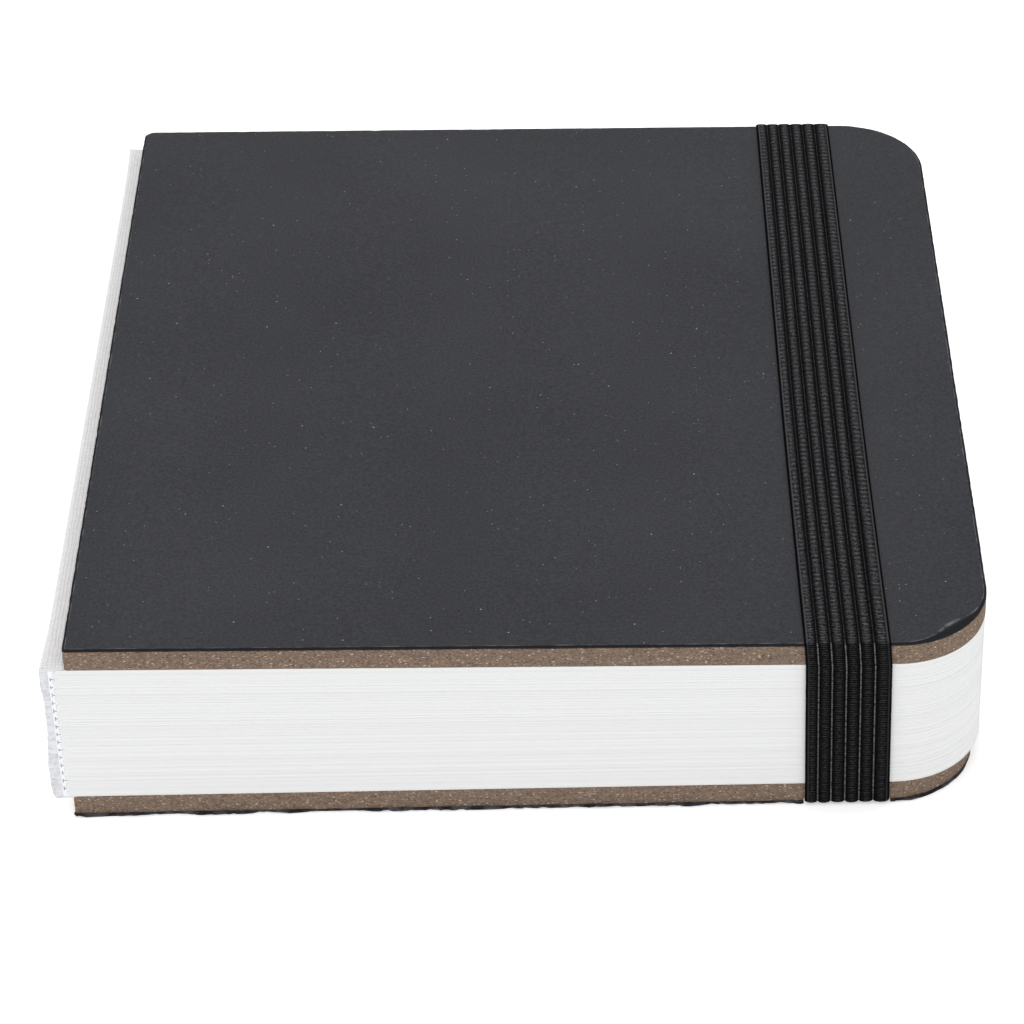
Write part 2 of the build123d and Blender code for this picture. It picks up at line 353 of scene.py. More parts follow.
for step in range(section_count + 1):
    z = np.linspace(strip_z[step], strip_z[step + 1], 21)
    height = (z - block_low) / block_pitch
    from_fold = (height - np.floor(height - 1e-9) - 0.5) * block_pitch
    inner = fold_x - np.sqrt(np.maximum(fold_radius ** 2 - from_fold ** 2, least_fold ** 2))
    inner = np.minimum(inner, fold_x - least_fold)
    ridge = np.clip((inner - glue_x) / ridge_depth, 0, 1)
    y_grid, z_grid = np.meshgrid(mull_y, z)
    outside = np.stack([np.full_like(z_grid, mull_x + mull_air), y_grid, z_grid], -1)
    inside = np.stack([np.repeat(inner[:, None], len(mull_y), 1), y_grid, z_grid], -1)
    points, faces = sheet_body(outside, inside)
    glue_and_shade_share = np.tile(np.repeat(ridge_glue_and_shade * ridge ** 3, len(mull_y)), 2)
    points, faces, shares = [points], faces.tolist(), [glue_and_shade_share]
    if 0 < step < section_count:
        for side_y in (-1, 1):
            bead, bead_faces = glue_bead(block_low + step * block_pitch, side_y)
            start = sum(len(p) for p in points)
            faces += [[start + i for i in face] for face in bead_faces]
            points.append(bead)
            # The beads are painted fully grey: glue, and painted shade of the voids between the folds.
            shares.append(np.ones(len(bead)))
    mull = new_piece(f"glued_mull_{step:02d}", np.concatenate(points), faces, mull_glue,
                     values={"glue_and_shade": np.concatenate(shares)}, sharp=30)
    if step == 0:
        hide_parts("spine_mull")
    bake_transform(mull)

# ---- The spine cloth --------------------------------------------------------------------------
# White starched cotton book cloth, plain weave. It runs from under one board, round the spine and
# under the other, and it is glued down all the way.

# Cotton is rough with a faint sheen. The threads are 0.36 mm apart, drawn as ridges that pass
# over and under each other, with slubs where a thread is thicker. The colour is painted lighter on
# the threads' crowns and darker between them, as painted light and shade. Its cut ends show grey
# lint.
book_cloth, tree, shader = new_material("plain_weave_book_cloth", {
    "Roughness": 0.9, "Specular IOR Level": 0.15, "Sheen Weight": 0.15, "Sheen Roughness": 0.5})
thread_gap = 0.36
flat = add_node(tree, "UVMap", uv_map="millimetres").outputs[0]
wander = add_node(tree, "TexNoise", {"Vector": flat, "Scale": 0.4, "Detail": 2.0})
drift = add_node(tree, "VectorMath", {0: wander.outputs["Color"], 1: (0.25, 0.25, 0.0)},
                 operation="MULTIPLY").outputs[0]
moved = add_node(tree, "VectorMath", {0: flat, 1: drift}, operation="ADD").outputs[0]
split = add_node(tree, "SeparateXYZ", {"Vector": moved})
waves = []
for axis in (0, 1):
    turn = add_node(tree, "Math", {0: split.outputs[axis], 1: np.pi / thread_gap},
                    operation="MULTIPLY").outputs[0]
    waves.append(add_node(tree, "Math", {0: turn}, operation="SINE").outputs[0])
rounds = [add_node(tree, "Math", {0: wave}, operation="ABSOLUTE").outputs[0] for wave in waves]
over = add_node(tree, "Math", {0: waves[0], 1: waves[1]}, operation="MULTIPLY").outputs[0]
side = add_node(tree, "MapRange", {"Value": over, "From Min": -0.25, "From Max": 0.25}).outputs[0]
weave = add_node(tree, "Mix", {"Factor": side, 2: rounds[0], 3: rounds[1]}).outputs[0]
slub = add_node(tree, "TexNoise", {"Vector": flat, "Scale": 1.6, "Detail": 3.0})
# Painted light and shade: lighter on the threads' crowns, darker between them, varied by the slubs.
painted_crown_light = add_node(tree, "Math", {0: weave, 1: slub.outputs["Fac"]}, operation="MULTIPLY").outputs[0]
colour = add_node(tree, "Mix", {"Factor": painted_crown_light, 6: linear("#d2d2d6"), 7: linear("#fbfaf8")},
                  data_type="RGBA").outputs[2]
cut_end = add_node(tree, "Attribute", attribute_name="cut_end").outputs["Fac"]
lint = add_node(tree, "TexNoise", {"Vector": add_node(tree, "TexCoord").outputs["Object"],
                                   "Scale": 1 / (0.6 * mm), "Detail": 4.0, "Roughness": 0.6})
lint_shade = add_node(tree, "MapRange", {"Value": lint.outputs["Fac"], "From Min": 0.3,
                                         "From Max": 0.55}).outputs[0]
cut_colour = add_node(tree, "Mix", {"Factor": lint_shade, 6: linear("#c6c7cd"),
                                    7: linear("#dedfe3")}, data_type="RGBA").outputs[2]
colour = add_node(tree, "Mix", {"Factor": cut_end, 6: colour, 7: cut_colour},
                  data_type="RGBA").outputs[2]
relief = add_node(tree, "Mix", {"Factor": cut_end, 2: weave, 3: lint.outputs["Fac"]}).outputs[0]
bump = add_node(tree, "Bump", {"Height": relief, "Distance": 0.06 * mm, "Strength": 0.9})
link_finish(tree, shader, colour, bump)

close_rows = 6.0           # the rows of points are closer together this near the cut ends
near_rows = end_y - close_rows * np.linspace(0, 1, 13) ** 1.6
middle_rows = np.linspace(close_rows - end_y, end_y - close_rows, 48)[1:-1]
cloth_y = np.concatenate([-near_rows, middle_rows, near_rows[::-1]])
# The frayed line of the cut ends is random, averaged over five neighbours. The cloth is looser at
# some heights than at others.
cloth_draw = np.random.default_rng(3)
fray = np.convolve(cloth_draw.uniform(-0.3, 0.15, 404), np.full(5, 0.2), "valid")
fray_place = np.linspace(0, 24, len(fray))
loose_z = [0, 2.5, 4, 7, 9.5, 12, 16, 18, 20.3, 22]
loose_by = [0.15, 0.4, 0.55, 0.6, 0.4, 0.2, 0.15, 0.35, 0.3, 0.1]


def spine_bulge(y, z):
    """How far the cloth stands out from the flat spine: at its near cut end loose_by at each
    height, and half of that at the far one, which dies away with a bell curve 5 mm wide, plus
    0.05 mm less 0.0028 times y, less a cosine ripple of 0.04 mm that has the sections' pitch."""
    loose = np.interp(z, loose_z, loose_by) * np.where(y > 0, 0.5, 1.0)
    ripple = 0.02 * (1 + np.cos(2 * np.pi * (z - block_low) / block_pitch))
    return bell(end_y - np.abs(y), 5.0) * loose + 0.05 - 0.0028 * y - ripple


def frayed(along, y):
    """How far the cloth's cut ends stray at a place along the cut: the random line fray, which dies
    away from the end with a bell curve 0.3 mm wide."""
    return np.interp(along, fray_place, fray) * bell(end_y - np.abs(y), 0.3) * np.sign(y)


def cut_end_mask(y):
    """1 on the rows of points at the cut ends, for the upper and the under side, 0 elsewhere."""
    return np.tile(np.abs(y) > end_y - 0.001, (2, 1))


for step in range(section_count + 1):
    z = np.linspace(strip_z[step], strip_z[step + 1], 11)
    y_grid, z_grid = np.meshgrid(cloth_y, z)
    uneven = frayed(z_grid, y_grid)
    outside = np.stack([spine_x - spine_bulge(y_grid, z_grid), y_grid + uneven, z_grid], -1)
    inside = np.stack([np.full_like(z_grid, mull_x), y_grid + uneven * 0.5, z_grid], -1)
    points, faces = sheet_body(outside, inside)
    flat_uv = np.tile(np.stack([y_grid, z_grid], -1).reshape(-1, 2), (2, 1))
    cloth = new_piece(f"spine_cloth_{step:02d}", points, faces, book_cloth, uv=flat_uv,
                      values={"cut_end": cut_end_mask(y_grid)})
    if step == 0:
        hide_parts("spine_cloth")
    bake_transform(cloth)

# The cloth's two turns onto the boards, bare for 2.2 mm beside each board, then under it, where
# they are held in from the ends. swell is the slope of the block's top.
bare_cloth, flap_reach, flap_inset, flap_air, pastedown = 2.2, 20.0, 0.5, 0.05, 0.12
swell = np.arctan2(section_count * (block_pitch - fore_edge_pitch), fore_edge_x - spine_x)


def lay_front(points):
    """Lays cover points (x, y, height from the pages) on the block: the height over the cosine of
    the block's slope, less the distance from the spine times its tangent."""
    out = np.array(points, float)
    out[..., 2] = block_high + out[..., 2] / np.cos(swell) - (out[..., 0] - spine_x) * np.tan(swell)
    return out


def lay_rear(points):
    """Lays cover points under the block, turned over."""
    out = np.array(points, float)
    out[..., 2] = block_low - out[..., 2]
    return out


# A turn's outer face goes up the spine, round an arc and along the block. Its inner face follows
# a cloth's thickness inside, and is level with the end paper's face under the board.
turn_radius = 0.55
turn = np.radians(np.linspace(0, 90, 9))
flap_x = np.concatenate([[0.0, 0.0], turn_radius * (1 - np.cos(turn)),
                         [1.1, 1.6, 2.1, 2.25, 2.6, 4.0, 10.0, flap_reach]])
flap_top = pastedown + cloth_thickness
flap_h = np.concatenate([[0.0, 0.01], flap_top - turn_radius + turn_radius * np.sin(turn),
                         np.full(8, flap_top)])
under_x = np.maximum(flap_x, cloth_thickness)
under_h = pastedown * np.minimum(np.arange(len(flap_x)) / (flap_x <= cloth_thickness)[1:].sum(), 1)
arc = np.concatenate([[0], np.cumsum(np.hypot(np.diff(flap_x), np.diff(flap_h)))])
reach_grid, y_grid = np.meshgrid(flap_x, cloth_y, indexing="ij")
every_y = np.ones(len(cloth_y))
hidden = np.clip((reach_grid - 2.0) / 0.6, 0, 1)                    # 1 under the board
bulge_left = np.clip(1 - reach_grid / 1.4, 0, 1) ** 1.5             # the spine's bulge dies away
y_held = y_grid * (1 - hidden * flap_inset / end_y)
uneven = frayed(np.outer(arc, every_y), y_grid) * (1 - hidden)
crease = 0.05 * bell(reach_grid - 2.1, 0.5)                         # pressed in beside the board
curl = 0.25 * bell(end_y - np.abs(y_grid), 0.45) * (reach_grid > 0.3)   # and down at the cut ends
top_h = np.outer(flap_h, every_y) - (crease + curl) * (1 - hidden)
under = np.stack([np.outer(spine_x + under_x, every_y), y_held + uneven * 0.5,
                  np.outer(under_h, every_y)], -1)
flat_uv = np.tile(np.stack([y_grid, np.outer(arc, every_y)], -1).reshape(-1, 2), (2, 1))
for cover, lay, wall_z in (("front", lay_front, block_high), ("rear", lay_rear, block_low)):
    bulge = spine_bulge(y_grid, np.full_like(y_grid, wall_z)) * bulge_left
    top = np.stack([spine_x + reach_grid - bulge, y_held + uneven, top_h], -1)
    points, faces = sheet_body(lay(top), lay(under))
    if cover == "rear":
        faces = faces[:, ::-1]
    flap = new_piece(f"spine_cloth_{cover}_turn", points, faces, book_cloth, uv=flat_uv,
                     values={"cut_end": cut_end_mask(y_grid)})
    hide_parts(f"spine_cloth_{cover}_flap")
    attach(flap, f"{cover}_cover")

# ---- The boards -------------------------------------------------------------------------------
# Solid grey board made from recycled fibre, cut with a guillotine, so the bare edge shows short
# fibres, pale flecks and dark flecks. The rear board has slots and grooves for the elastic.

board_low, board_thickness, cover_paper_thickness = pastedown, 2.45, 0.23
board_x, sharp_corner, worn_corner = spine_x + bare_cloth, 0.4, 1.3


def cut_outline(spacing):
    """A board's outline, anticlockwise, with its outward directions: four corner arcs, centre plus
    radius times (cos, sin), joined by evenly divided straight runs. The far corner at the spine is
    worn rounder than the near one."""
    corners = [(fore_edge_x, 1, corner_radius, 0), (board_x, 1, worn_corner, 90),
               (board_x, -1, sharp_corner, 180), (fore_edge_x, -1, corner_radius, 270)]
    arcs, outward = [], []
    for x, side_y, radius, start in corners:
        inward = -1 if x > 0 else 1
        steps = max(7, int(np.pi / 2 * radius / spacing))
        turn = np.radians(np.linspace(start, start + 90, steps))
        normal = np.stack([np.cos(turn), np.sin(turn)], -1)
        centre = np.array([x + inward * radius, side_y * (end_y - radius)])
        arcs.append(centre + radius * normal)
        outward.append(normal)
    points, normals = [], []
    for i in range(4):
        begin, end = arcs[i][-1], arcs[(i + 1) % 4][0]
        count = int(np.linalg.norm(end - begin) / spacing)
        share = np.linspace(0, 1, count + 2)[1:-1, None]
        points += [arcs[i], begin + share * (end - begin)]
        normals += [outward[i], np.repeat(outward[i][-1:], count, 0)]
    return np.concatenate(points), np.concatenate(normals)


rear_shift = -0.75         # the rear cover sits a little nearer the spine than the front one
outline_step, edge_inset, most_fuzz = 0.4, 0.2, 0.02
worn_facing, worn_width = -50, 18          # the near fore-edge corner, in degrees it faces
stray_knots, points_a_knot, stray_fuzz = 200, 6, 0.4


def cover_rings(levels, roughness, seed, shift=0.0, worn=0.0, stray=0.0):
    """Outlines at each (inset, height), moved by shift in x. Where the inset is under edge_inset
    they are pushed in and out by a random unevenness, averaged over its neighbours and cut off at
    most_fuzz. worn multiplies the insets by 1 + worn times a bell curve of the way the edge faces.
    stray lets the near side stand out by up to that much, by a random line of straight runs."""
    draw = np.random.default_rng(seed)
    outline, outward = cut_outline(outline_step)
    outline = outline + (shift, 0)
    noise = draw.normal(0, 1, (len(levels), len(outline)))
    noise = (noise + np.roll(noise, 1, 1) + 0.5 * np.roll(noise, 2, 1)) / 1.5
    facing = np.degrees(np.arctan2(outward[:, 1], outward[:, 0]))
    press = 1 + worn * bell(facing - worn_facing, worn_width)
    knot = np.arange(len(outline)) / points_a_knot
    proud = stray * np.interp(knot, np.arange(stray_knots), draw.uniform(0.15, 1, stray_knots))
    proud = proud * np.clip(-outward[:, 1], 0, 1)
    loose = stray_fuzz * proud
    rings = []
    for level, (inset, height) in enumerate(levels):
        fuzz = np.minimum((roughness + loose) * noise[level], most_fuzz + loose)
        push = fuzz + proud if inset < edge_inset else 0
        flat = outline - outward * (inset * press - push)[:, None]
        rings.append(np.column_stack([flat, np.full(len(flat), height)]))
    return np.array(rings)


def cut_away(obj, boxes):
    """Cuts boxes, given as low and high corners in millimetres, which may overlap, out of a piece.
    Edges shorter than 0.002 mm that the cut leaves are closed up, and the faces are triangles."""
    corners, faces = [], []
    order = [(0, 1, 3, 2), (4, 6, 7, 5), (0, 4, 5, 1), (2, 3, 7, 6), (0, 2, 6, 4), (1, 5, 7, 3)]
    for low, high in boxes:
        start = len(corners)
        corners += [tuple((high if bit else low)[axis] * mm for axis, bit in enumerate(pick))
                    for pick in np.ndindex(2, 2, 2)]
        faces += [[start + i for i in face] for face in order]
    mesh = bpy.data.meshes.new("cutter")
    mesh.from_pydata(corners, [], faces)
    cutter = add_object("cutter", mesh)
    modifier = obj.modifiers.new("cut", "BOOLEAN")
    modifier.operation, modifier.solver, modifier.object = "DIFFERENCE", "EXACT", cutter
    modifier.use_self = True
    depsgraph = bpy.context.evaluated_depsgraph_get()
    result = bpy.data.meshes.new_from_object(obj.evaluated_get(depsgraph))
    shell = bmesh.new()
    shell.from_mesh(result)
    bmesh.ops.dissolve_degenerate(shell, dist=0.002 * mm, edges=shell.edges)
    bmesh.ops.triangulate(shell, faces=shell.faces)
    shell.to_mesh(result)
    shell.free()
    obj.modifiers.clear()
    obj.data = result
    bpy.data.objects.remove(cutter)
    obj.data.polygons.foreach_set("use_smooth", np.ones(len(obj.data.polygons), bool))
    obj.data.set_sharp_from_angle(angle=np.radians(40))


def with_flecks(tree, colour, place, fleck, gap, size, chance, strength):
    """Flecks over a colour, one in each cell of a random pattern of cells gap mm wide whose random
    number is over chance, as wide as twice size times the gap."""
    cell = add_node(tree, "TexVoronoi", {"Vector": place, "Scale": 1 / (gap * mm)})
    near = add_node(tree, "Math", {0: cell.outputs["Distance"], 1: size},
                    operation="LESS_THAN").outputs[0]
    pick = add_node(tree, "SeparateColor", {"Color": cell.outputs["Color"]}).outputs[0]
    chosen = add_node(tree, "Math", {0: pick, 1: chance}, operation="GREATER_THAN").outputs[0]
    mask = add_node(tree, "Math", {0: near, 1: chosen}, operation="MULTIPLY").outputs[0]
    mask = add_node(tree, "Math", {0: mask, 1: strength}, operation="MULTIPLY").outputs[0]
    return add_node(tree, "Mix", {"Factor": mask, 6: colour, 7: linear(fleck)},
                    data_type="RGBA").outputs[2]


# Recycled fibre board: rough and dull. Fibres lie flat, so the pattern is drawn twice as long as
# it is high, 0.25 mm by 0.12 mm, with sparse pale and dark flecks of 0.2 to 0.3 mm.
grey_board, tree, shader = new_material("recycled_grey_board", {
    "Roughness": 0.95, "Specular IOR Level": 0.1})
place = add_node(tree, "TexCoord").outputs["Object"]
lying = add_node(tree, "Mapping", {"Vector": place, "Scale": (1.0, 1.0, 2.0)}).outputs[0]
fibre = add_node(tree, "TexNoise", {"Vector": lying, "Scale": 1 / (0.28 * mm), "Detail": 4.0,
                                    "Roughness": 0.65})
base = add_node(tree, "ValToRGB", {"Fac": fibre.outputs["Fac"]})
base.color_ramp.elements[0].position, base.color_ramp.elements[0].color = 0.28, linear("#57483f")
base.color_ramp.elements[1].position, base.color_ramp.elements[1].color = 0.75, linear("#988474")
middle = base.color_ramp.elements.new(0.5)
middle.color = linear("#7b6a5d")
colour = base.outputs["Color"]
ragged = add_node(tree, "TexNoise", {"Vector": lying, "Scale": 1 / (0.2 * mm), "Detail": 2.0})
push = add_node(tree, "VectorMath", {0: ragged.outputs["Color"], 1: (0.35 * mm,) * 3},
                operation="MULTIPLY").outputs[0]
torn = add_node(tree, "VectorMath", {0: lying, 1: push}, operation="ADD").outputs[0]
for fleck, gap, size, chance in (("#b39377", 0.45, 0.30, 0.66), ("#cac0b3", 0.5, 0.26, 0.76),
                                 ("#41352e", 0.4, 0.30, 0.7)):
    colour = with_flecks(tree, colour, torn, fleck, gap, size, chance, 0.7)
bump = add_node(tree, "Bump", {"Height": fibre.outputs["Fac"], "Distance": 0.08 * mm,
                               "Strength": 0.8})
link_finish(tree, shader, colour, bump)

board_high = board_low + board_thickness
board_roughness = 0.022    # how far the cut edge strays; the levels ease each arris
board_levels = ([(0.10, board_low), (0.03, board_low + 0.05)]
                + [(0.0, h) for h in np.linspace(board_low + 0.14, board_high - 0.14, 9)]
                + [(0.02, board_high - 0.04), (0.06, board_high)])
flap_end = end_y - flap_inset + flap_air
flap_room = ((spine_x - 1, -flap_end, -1),
             (spine_x + flap_reach + flap_air, flap_end, flap_top + 0.005))

band_width, band_thickness, band_x = 9.0, 0.5, fore_edge_x - 15.6
slot_y, slot_air, band_air, tail_length = end_y - 12.0, 0.15, 0.02, 10.0
band_low_x, band_high_x = band_x - band_width / 2 - slot_air, band_x + band_width / 2 + slot_air
tail_z = block_low - pastedown - band_thickness
near_drift = 0.65          # the elastic sits this much nearer the fore-edge at its near end
half_slot, through = band_thickness / 2 + slot_air, block_low - pastedown + 0.5
elastic_room = []
for side_y in (-1, 1):
    shift = near_drift if side_y < 0 else 0.0
    # The groove from the edge to the slot, the slot through the board, and the bed of the end.
    for y_in, y_out, z_low, z_high in (
            (slot_y, end_y + 1, -1.0, band_thickness + 2 * band_air),
            (slot_y - half_slot, slot_y + half_slot, -1.0, through),
            (slot_y - tail_length - slot_air, slot_y, tail_z - band_air, through)):
        y_low, y_high = sorted((side_y * y_in, side_y * y_out))
        elastic_room.append(((band_low_x + shift, y_low, z_low), (band_high_x + shift, y_high, z_high)))

# The front board is made and cut flat, then laid on the block.
points, faces = ring_loft(cover_rings(board_levels, board_roughness, 11))
front_board = new_piece("front_grey_board", points, faces, grey_board)
cut_away(front_board, [flap_room])
flat_points = np.zeros(len(front_board.data.vertices) * 3)
front_board.data.vertices.foreach_get("co", flat_points)
laid_points = lay_front(flat_points.reshape(-1, 3) / mm) * mm
front_board.data.vertices.foreach_set("co", laid_points.ravel())
front_board.data.update()
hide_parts("front_board")
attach(front_board, "front_cover")

rear_rings = lay_rear(cover_rings(board_levels, board_roughness, 12, rear_shift))
points, faces = ring_loft(rear_rings[::-1])
rear_board = new_piece("rear_grey_board", points, faces, grey_board)
low, high = flap_room
rear_flap_room = ((*low[:2], block_low - high[2]), (*high[:2], block_low - low[2]))
cut_away(rear_board, [rear_flap_room] + elastic_room)
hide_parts("rear_board")
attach(rear_board, "rear_cover")

# ---- The cover papers -------------------------------------------------------------------------
# Charcoal covering paper, laminated to each board before it was cut, so its edge is flush with
# the board and slightly pressed over by the knife. It is painted paler in patches just inside the
# edge, and near black on the pressed-over edge as painted shade.

# Dyed-through paper with a calendered face: fine grain, drawn at 0.3 mm, twice as coarse as it is,
# so that it shows, a soft gloss, and a few pale fibre specks of about 0.1 mm, 3 mm or so apart.
cover_paper, tree, shader = new_material("calendered_charcoal_paper", {
    "Specular IOR Level": 0.3})
place = add_node(tree, "TexCoord").outputs["Object"]
grain = add_node(tree, "TexNoise", {"Vector": place, "Scale": 1 / (0.3 * mm), "Detail": 3.0})
clouds = add_node(tree, "TexNoise", {"Vector": place, "Scale": 1 / (25 * mm), "Detail": 3.0})
both = add_node(tree, "Math", {0: grain.outputs["Fac"], 1: 3.4, 2: clouds.outputs["Fac"]},
                operation="MULTIPLY_ADD").outputs[0]
depth = add_node(tree, "MapRange", {"Value": both, "From Min": 1.5, "From Max": 2.9}).outputs[0]
colour = add_node(tree, "Mix", {"Factor": depth, 6: linear("#15161b"), 7: linear("#2f3037")},
                  data_type="RGBA").outputs[2]
for gap, size, chance in ((2.6, 0.035, 0.4), (1.1, 0.05, 0.8), (0.7, 0.09, 0.9)):
    colour = with_flecks(tree, colour, place, "#a9aeb3", gap, size, chance, 0.6)
# Paler in patches just inside the edge.
pale_rim = add_node(tree, "Attribute", attribute_name="pale_rim").outputs["Fac"]
patches = add_node(tree, "TexNoise", {"Vector": place, "Scale": 1 / (2.5 * mm), "Detail": 6.0,
                                      "Roughness": 0.75})
worn = add_node(tree, "MapRange", {"Value": patches.outputs["Fac"], "From Min": 0.46,
                                   "From Max": 0.68}).outputs[0]
wear = add_node(tree, "Math", {0: pale_rim, 1: worn}, operation="MULTIPLY").outputs[0]
wear = add_node(tree, "Math", {0: wear, 1: 0.6}, operation="MULTIPLY").outputs[0]
colour = add_node(tree, "Mix", {"Factor": wear, 6: colour, 7: linear("#8d8f94")},
                  data_type="RGBA").outputs[2]
# Painted shade: the pressed-over edge, turned down from the light, is painted near black.
rolled_edge_shade = add_node(tree, "Attribute", attribute_name="rolled_edge_shade").outputs["Fac"]
colour = add_node(tree, "Mix", {"Factor": rolled_edge_shade, 6: colour, 7: linear("#0f1014")},
                  data_type="RGBA").outputs[2]
gloss = add_node(tree, "MapRange", {"Value": grain.outputs["Fac"], "To Min": 0.48,
                                    "To Max": 0.62}).outputs[0]
gloss = add_node(tree, "Math", {0: rolled_edge_shade, 1: 0.4, 2: gloss}, operation="MULTIPLY_ADD").outputs[0]
bump = add_node(tree, "Bump", {"Height": grain.outputs["Fac"], "Distance": 0.012 * mm,
                               "Strength": 0.7})
link_finish(tree, shader, colour, bump)
tree.links.new(gloss, shader.inputs["Roughness"])

# Each outline's inset and height, how pale it is painted and how dark the painted shade on the
# pressed-over edge is there.
paper_high = board_high + cover_paper_thickness
paper_levels = [(0.03, board_high), (0.0, board_high + 0.03), (0.0, paper_high - 0.13),
                (0.035, paper_high - 0.05), (0.1, paper_high - 0.012), (0.2, paper_high),
                (0.25, paper_high), (0.29, paper_high), (0.33, paper_high), (0.37, paper_high)]
paper_pale_rim = [0.5, 0.5, 0.4, 0.3, 0.2, 0.3, 0.9, 1.0, 0.5, 0.0]
paper_edge_shade = [0.8, 0.8, 0.8, 0.9, 0.95, 0.9, 0.5, 0, 0, 0]
front_wear = {"roughness": 0.03, "seed": 21, "worn": 3.5}
rear_wear = {"roughness": 0.05, "seed": 22, "shift": rear_shift, "stray": 0.32}
# The rear paper is painted paler twice as strongly, and its painted edge shade at a tenth.
for cover, lay, pale_rim_strength, darkening, wear in (("front", lay_front, 1.0, 1.0, front_wear),
                                              ("rear", lay_rear, 2.0, 0.1, rear_wear)):
    rings = lay(cover_rings(paper_levels, **wear))
    pale_rim_share = np.repeat(paper_pale_rim, rings.shape[1]) * pale_rim_strength
    edge_shade = np.repeat(paper_edge_shade, rings.shape[1]) * darkening
    if cover == "rear":
        rings, pale_rim_share, edge_shade = rings[::-1], pale_rim_share[::-1], edge_shade[::-1]
    points, faces = ring_loft(rings)
    skin = new_piece(f"{cover}_charcoal_paper", points, faces, cover_paper,
                     values={"pale_rim": pale_rim_share, "rolled_edge_shade": edge_shade})
    if cover == "rear":
        cut_away(skin, elastic_room)
    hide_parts(f"{cover}_cover_paper")
    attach(skin, f"{cover}_cover")

# ---- The end papers ---------------------------------------------------------------------------
# The same white paper as the pages, one glued flat inside each board. Their CAD solids have the
# right shape, so they only get the finish: soft white with a faint laid grain.

end_paper, tree, shader = new_material("white_end_paper", {
    "Roughness": 0.85, "Specular IOR Level": 0.2})
place = add_node(tree, "TexCoord").outputs["Object"]
fibre = add_node(tree, "TexNoise", {"Vector": place, "Scale": 1 / (0.5 * mm), "Detail": 4.0})
colour = add_node(tree, "Mix", {"Factor": fibre.outputs["Fac"], 6: linear("#dcdbd6"),
                                7: linear("#edece8")}, data_type="RGBA").outputs[2]
bump = add_node(tree, "Bump", {"Height": fibre.outputs["Fac"], "Distance": 0.015 * mm})
link_finish(tree, shader, colour, bump)
for name in ("front_pastedown", "rear_pastedown"):
    give_finish(name, end_paper)

# ---- The elastic ------------------------------------------------------------------------------
# Flat black braided elastic, 9 mm wide: six rubber cores, each bound round with fine thread, so
# it has six ribs with a thin pale thread in the grooves. Both ends go through the rear board.

# Spun polyester over rubber: nearly black, with no gloss. A broken pale thread shows in the
# grooves and along the two selvages. The crowns of the ribs are painted lighter in patches, as a
# painted highlight, more on the top than on the stood-up sides; the groove threads are painted
# paler on the stood-up sides and the selvage threads paler on the top, as painted light. The
# binding threads are drawn 0.24 mm apart, a little coarser than they are, so that they show.
braid, tree, shader = new_material("braided_elastic", {
    "Roughness": 0.95, "Specular IOR Level": 0.04})
flat = add_node(tree, "UVMap", uv_map="millimetres").outputs[0]
split = add_node(tree, "SeparateXYZ", {"Vector": flat})
selvage_inset, binding_gap = 0.28, 0.24
groove_shares = (0.147, 0.305, 0.47, 0.638, 0.806)
grooves = 0.0
for share in groove_shares:
    off = add_node(tree, "Math", {0: split.outputs[0], 1: share * band_width}, operation="SUBTRACT")
    off = add_node(tree, "Math", {0: off.outputs[0]}, operation="ABSOLUTE").outputs[0]
    line = add_node(tree, "MapRange", {"Value": off, "From Min": 0.09, "From Max": 0.03}).outputs[0]
    grooves = add_node(tree, "Math", {0: grooves, 1: line}, operation="MAXIMUM").outputs[0]
stitches = add_node(tree, "TexNoise", {"Vector": flat, "Scale": 3.0, "Detail": 3.0})
broken = add_node(tree, "MapRange", {"Value": stitches.outputs["Fac"], "From Min": 0.35,
                                     "From Max": 0.6, "To Min": 0.25}).outputs[0]
pale = add_node(tree, "Math", {0: grooves, 1: broken}, operation="MULTIPLY").outputs[0]
upright = add_node(tree, "Attribute", attribute_name="upright").outputs["Fac"]
rib = add_node(tree, "Attribute", attribute_name="rib_height").outputs["Fac"]
# Painted light: the pale groove threads at full strength on the stood-up sides, 0.22 on the top.
pale_thread_side_light = add_node(tree, "MapRange", {"Value": upright, "To Min": 0.22}).outputs[0]
pale = add_node(tree, "Math", {0: pale, 1: pale_thread_side_light}, operation="MULTIPLY").outputs[0]
across = split.outputs[0]
for middle in (band_width / 2, band_width / 2 - selvage_inset):
    off = add_node(tree, "Math", {0: across, 1: middle}, operation="SUBTRACT").outputs[0]
    across = add_node(tree, "Math", {0: off}, operation="ABSOLUTE").outputs[0]
selvage = add_node(tree, "MapRange", {"Value": across, "From Min": 0.11, "From Max": 0.04}).outputs[0]
# Painted light: the selvage threads at 0.3 on the top and 0.12 on the stood-up sides.
selvage_top_light = add_node(tree, "MapRange", {"Value": upright, "To Min": 0.3, "To Max": 0.12}).outputs[0]
selvage = add_node(tree, "Math", {0: selvage, 1: selvage_top_light}, operation="MULTIPLY").outputs[0]
pale = add_node(tree, "Math", {0: pale, 1: selvage}, operation="MAXIMUM").outputs[0]
slant = add_node(tree, "Math", {0: rib, 1: -0.06, 2: split.outputs[1]},
                 operation="MULTIPLY_ADD").outputs[0]
wound = add_node(tree, "Math", {0: slant, 1: 2 * np.pi / binding_gap},
                 operation="MULTIPLY").outputs[0]
wound = add_node(tree, "Math", {0: wound}, operation="SINE").outputs[0]
hair = add_node(tree, "MapRange", {"Value": wound, "From Min": -0.5, "From Max": 0.8}).outputs[0]
patchy = add_node(tree, "TexNoise", {"Vector": flat, "Scale": 3.5, "Detail": 4.0}).outputs["Fac"]
patchy = add_node(tree, "MapRange", {"Value": patchy, "From Min": 0.35, "From Max": 0.65,
                                     "To Min": 0.2}).outputs[0]
